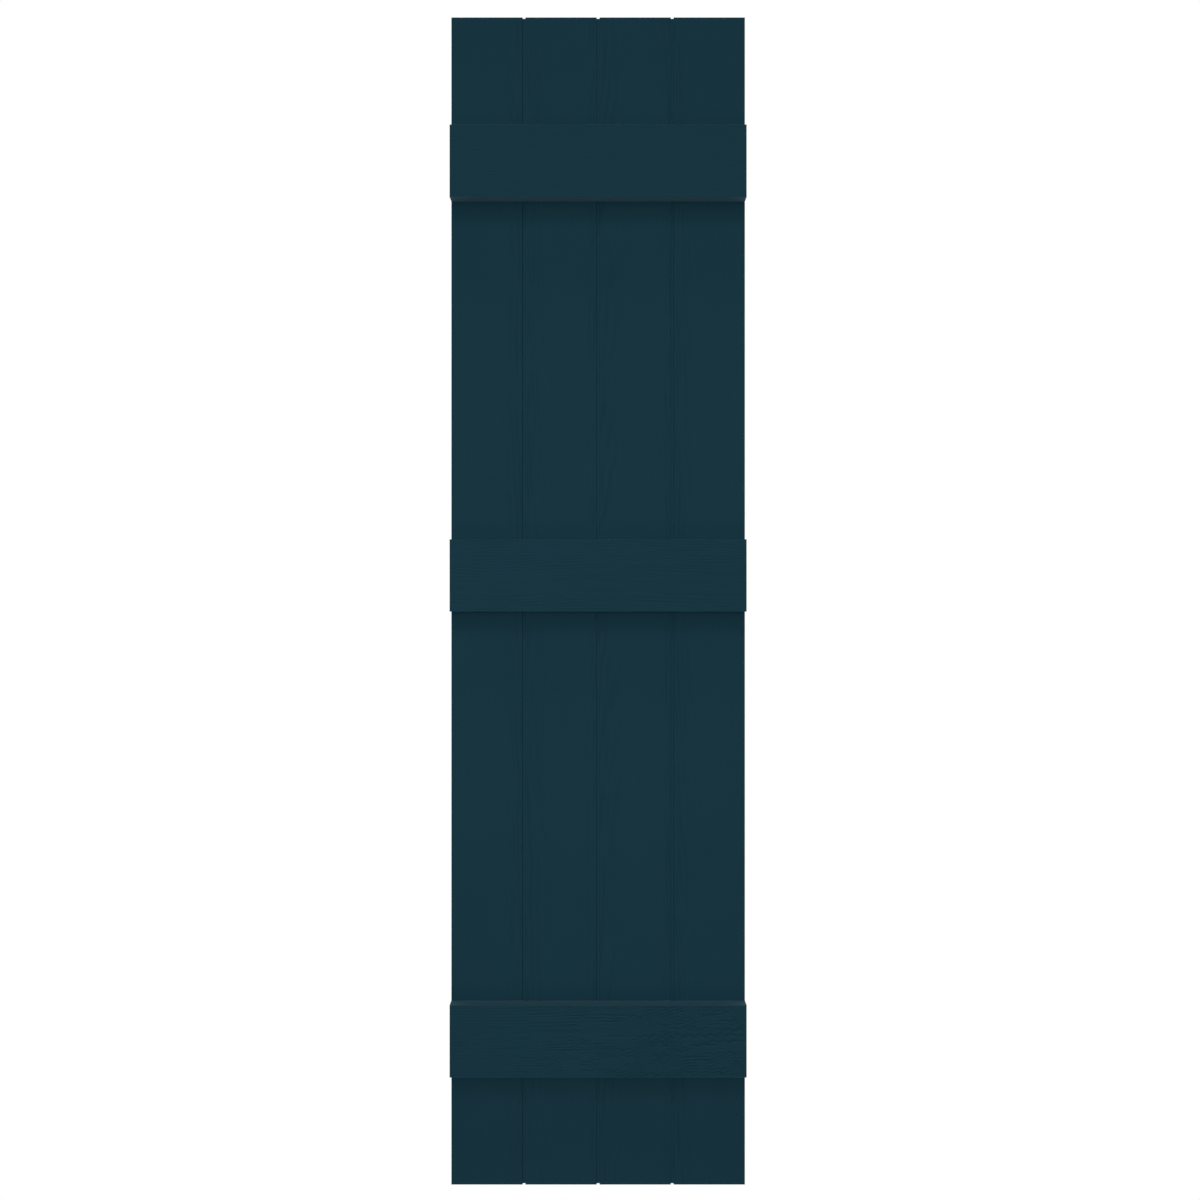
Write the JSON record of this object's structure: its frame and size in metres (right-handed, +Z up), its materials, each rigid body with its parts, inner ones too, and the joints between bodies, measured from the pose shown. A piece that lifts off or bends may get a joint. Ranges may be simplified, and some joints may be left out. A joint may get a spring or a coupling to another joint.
{
  "type": "board and batten shutter",
  "caption": "Fixed exterior window shutter of upright woodgrain boards with shallow grooves between them and flat cross battens on the face, hollow and ribbed behind, hung flat on a wall.",
  "frame": {"origin": "middle of the back of the shutter, on the plane that lies against the wall", "axes": "+Z up along the boards, +Y into the wall, so the face with the battens looks along -Y; +X to the right of someone looking at the face"},
  "size_m": [0.3514, 0.038, 1.397],
  "materials": {
    "board": "low-gloss dark blue, moulded woodgrain along the boards",
    "batten": "low-gloss dark blue, moulded woodgrain along the battens",
    "screw": "zinc plated"
  },
  "bodies": {
    "root": {"outer_left_board": "board", "inner_left_board": "board", "inner_right_board": "board", "outer_right_board": "board", "top_batten": "batten", "middle_batten": "batten", "bottom_batten": "batten", "top_batten_screws": "screw", "middle_batten_screws": "screw", "bottom_batten_screws": "screw"}
  },
  "joints": []
}
